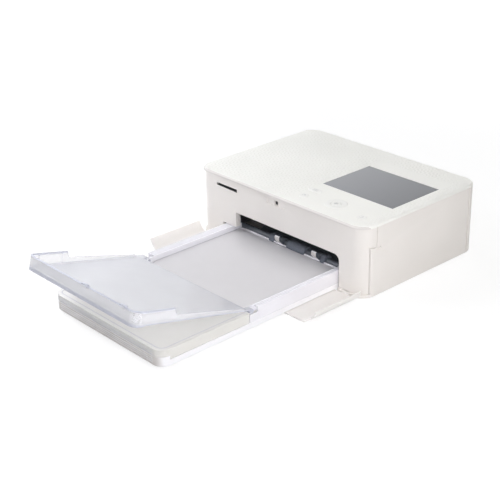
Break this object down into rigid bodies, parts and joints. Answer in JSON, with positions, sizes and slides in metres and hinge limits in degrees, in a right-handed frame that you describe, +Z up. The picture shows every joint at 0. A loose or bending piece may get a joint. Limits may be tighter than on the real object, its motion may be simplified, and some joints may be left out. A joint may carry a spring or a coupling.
{
  "type": "compact photo printer",
  "caption": "Compact photo printer with a flat white body, colour screen and keys on top, and a paper cassette in front with a raised clear flap.",
  "frame": {"origin": "on the table under the middle of the printer's body, on the middle foot's face", "axes": "+X to the right of someone who faces the front, +Y to the rear, +Z up; the cassette runs out along -Y"},
  "size_m": [0.1822, 0.3173, 0.0578],
  "materials": {
    "case_white": "smooth satin white",
    "top_white": "white with a fine diagonal wave grain",
    "foot_rubber": "matt",
    "screen_dark": "glossy dark window",
    "board_black": "black",
    "key_pale": "satin pale grey",
    "board_green": "green board",
    "screw_steel": "plain steel",
    "socket_metal": "tinned steel",
    "cable_tan": "flat film cable",
    "frame_steel": "zinc plated sheet",
    "guide_black": "black plastic",
    "gear_grey": "grey acetal",
    "roller_rubber": "blue grey rubber",
    "shaft_steel": "ground steel",
    "gear_white": "white acetal",
    "motor_steel": "plated can",
    "pinion_brass": "brass",
    "ink_grey": "dark grey cassette",
    "film_dark": "dye film",
    "head_ceramic": "glazed ceramic",
    "head_aluminium": "extruded",
    "tray_white": "white tray",
    "paper_white": "glossy photo paper",
    "cover_clear": "clear with a blue tint"
  },
  "bodies": {
    "printer": {"base_cover": "case_white", "rubber_feet": "foot_rubber", "body_shell": "case_white", "front_panel": "case_white", "top_cover": "top_white", "screen_window": "screen_dark", "lcd_module": "board_black", "key_board": "board_green", "main_board": "board_green", "board_screws": "screw_steel", "usb_socket": "socket_metal", "dc_socket": "board_black", "card_reader": "socket_metal", "flat_cable": "cable_tan", "chassis_left": "frame_steel", "chassis_right": "frame_steel", "head_bridge": "frame_steel", "feed_guide": "guide_black", "return_guide": "guide_black", "rear_guide": "guide_black", "gear_studs": "shaft_steel", "motor": "motor_steel", "ink_shell": "ink_grey", "ink_film": "film_dark", "head_pivot": "shaft_steel", "head_springs": "screw_steel"},
    "front_door": {"front_door": "case_white"},
    "ink_door": {"ink_door": "case_white"},
    "menu_key": {"menu_key": "key_pale"},
    "power_key": {"power_key": "key_pale"},
    "back_key": {"back_key": "key_pale"},
    "print_key": {"print_key": "key_pale"},
    "direction_pad": {"direction_pad": "key_pale"},
    "pickup_roller": {"pickup_shaft": "gear_grey", "pickup_tyres": "roller_rubber"},
    "exit_roller": {"exit_shaft": "gear_grey", "exit_tyres": "roller_rubber"},
    "platen_roller": {"platen_roller": "roller_rubber"},
    "capstan": {"capstan": "shaft_steel", "capstan_gear": "gear_white"},
    "pinch_roller": {"pinch_roller": "shaft_steel"},
    "ribbon_idler": {"ribbon_idler": "gear_white"},
    "feed_idler": {"feed_idler": "gear_white"},
    "drive_idler": {"drive_idler": "gear_white"},
    "motor_pinion": {"motor_pinion": "pinion_brass"},
    "takeup_spool": {"takeup_gear": "gear_white", "takeup_spool": "film_dark"},
    "supply_spool": {"supply_spool": "film_dark"},
    "paper_fingers": {"paper_fingers": "case_white"},
    "print_head": {"thermal_head": "head_ceramic", "head_carrier": "head_aluminium"},
    "release_lever": {"release_lever": "guide_black"},
    "cassette": {"cassette_base": "tray_white", "front_cover": "cover_clear", "rear_cover": "cover_clear", "paper_stack": "paper_white", "lift_spring": "screw_steel"},
    "output_flap": {"output_flap": "cover_clear"},
    "lift_plate": {"lift_plate": "tray_white"}
  },
  "joints": [
    {"name": "cassette_slide", "type": "slide", "parent": "printer", "child": "cassette", "axis": [0, -1, 0], "range_m": [0, 0.15]},
    {"name": "flap_swing", "type": "hinge", "parent": "cassette", "child": "output_flap", "pos_m": [0, -0.151, 0.0145], "axis": [-1, 0, 0], "range_deg": [0, 118]},
    {"name": "lift_plate_tilt", "type": "hinge", "parent": "cassette", "child": "lift_plate", "pos_m": [0, -0.1, 0.0051], "axis": [1, 0, 0], "range_deg": [-1.2, 0], "stiffness_Nm_per_rad": 0.5, "deforming": ["lift_spring"]},
    {"name": "front_door_fold", "type": "hinge", "parent": "printer", "child": "front_door", "pos_m": [0, -0.0652, 0.0015], "axis": [-1, 0, 0], "range_deg": [0, 0.3]},
    {"name": "ink_door_swing", "type": "hinge", "parent": "printer", "child": "ink_door", "pos_m": [0.0893, 0.0525, 0.029], "axis": [0, 0, 1], "range_deg": [0, 92]},
    {"name": "release_lever_swing", "type": "hinge", "parent": "printer", "child": "release_lever", "pos_m": [0.0834, 0.0475, 0.024], "axis": [-1, 0, 0], "range_deg": [0, 20], "stiffness_Nm_per_rad": 0.05},
    {"name": "menu_key_press", "type": "slide", "parent": "printer", "child": "menu_key", "axis": [0, 0, -1], "range_m": [0, 0.0005], "stiffness_N_per_m": 300},
    {"name": "power_key_press", "type": "slide", "parent": "printer", "child": "power_key", "axis": [0, 0, -1], "range_m": [0, 0.0005], "stiffness_N_per_m": 300},
    {"name": "back_key_press", "type": "slide", "parent": "printer", "child": "back_key", "axis": [0, 0, -1], "range_m": [0, 0.0005], "stiffness_N_per_m": 300},
    {"name": "print_key_press", "type": "slide", "parent": "printer", "child": "print_key", "axis": [0, 0, -1], "range_m": [0, 0.0005], "stiffness_N_per_m": 300},
    {"name": "direction_pad_press", "type": "slide", "parent": "printer", "child": "direction_pad", "axis": [0, 0, -1], "range_m": [0, 0.0005], "stiffness_N_per_m": 300},
    {"name": "head_press", "type": "hinge", "parent": "printer", "child": "print_head", "pos_m": [0, 0.0135, 0.032], "axis": [1, 0, 0], "range_deg": [0, 4.2], "stiffness_Nm_per_rad": 5, "springref_deg": -0.29},
    {"name": "finger_tilt", "type": "hinge", "parent": "printer", "child": "paper_fingers", "pos_m": [0, -0.0532, 0.0129], "axis": [1, 0, 0], "range_deg": [-8, 8], "stiffness_Nm_per_rad": 0.02},
    {"name": "capstan_spin", "type": "hinge", "parent": "printer", "child": "capstan", "pos_m": [0, 0.03601, 0.02251], "axis": [1, 0, 0], "continuous": true},
    {"name": "pinch_spin", "type": "hinge", "parent": "printer", "child": "pinch_roller", "pos_m": [0, 0.03601, 0.02931], "axis": [1, 0, 0], "continuous": true},
    {"name": "platen_spin", "type": "hinge", "parent": "printer", "child": "platen_roller", "pos_m": [0, 0.001, 0.01901], "axis": [1, 0, 0], "continuous": true},
    {"name": "feed_idler_spin", "type": "hinge", "parent": "printer", "child": "feed_idler", "pos_m": [-0.079, 0.0162, 0.03296], "axis": [1, 0, 0], "continuous": true},
    {"name": "ribbon_idler_spin", "type": "hinge", "parent": "printer", "child": "ribbon_idler", "pos_m": [-0.079, -0.00459, 0.0335], "axis": [1, 0, 0], "continuous": true},
    {"name": "takeup_spin", "type": "hinge", "parent": "printer", "child": "takeup_spool", "pos_m": [0, -0.02598, 0.03651], "axis": [1, 0, 0], "continuous": true},
    {"name": "supply_spin", "type": "hinge", "parent": "printer", "child": "supply_spool", "pos_m": [0, 0.026, 0.038], "axis": [1, 0, 0], "continuous": true},
    {"name": "exit_roller_spin", "type": "hinge", "parent": "printer", "child": "exit_roller", "pos_m": [0, -0.03838, 0.02081], "axis": [1, 0, 0], "continuous": true},
    {"name": "pickup_roller_spin", "type": "hinge", "parent": "printer", "child": "pickup_roller", "pos_m": [0, -0.0532, 0.0129], "axis": [1, 0, 0], "continuous": true},
    {"name": "drive_idler_spin", "type": "hinge", "parent": "printer", "child": "drive_idler", "pos_m": [-0.079, 0.04802, 0.0385], "axis": [1, 0, 0], "continuous": true},
    {"name": "motor_spin", "type": "hinge", "parent": "printer", "child": "motor_pinion", "pos_m": [-0.076, 0.05218, 0.01894], "axis": [1, 0, 0], "continuous": true}
  ],
  "couplings": [
    {"joint": "pinch_spin", "follows": "capstan_spin", "ratio": -1.1667},
    {"joint": "feed_idler_spin", "follows": "capstan_spin", "ratio": -1.1538},
    {"joint": "ribbon_idler_spin", "follows": "capstan_spin", "ratio": 1.1538},
    {"joint": "takeup_spin", "follows": "capstan_spin", "ratio": -1.0714},
    {"joint": "supply_spin", "follows": "capstan_spin", "ratio": -0.71429},
    {"joint": "exit_roller_spin", "follows": "capstan_spin", "ratio": 1.3636},
    {"joint": "pickup_roller_spin", "follows": "capstan_spin", "ratio": -1.5},
    {"joint": "drive_idler_spin", "follows": "capstan_spin", "ratio": -1.5},
    {"joint": "motor_spin", "follows": "capstan_spin", "ratio": 3.8571}
  ]
}
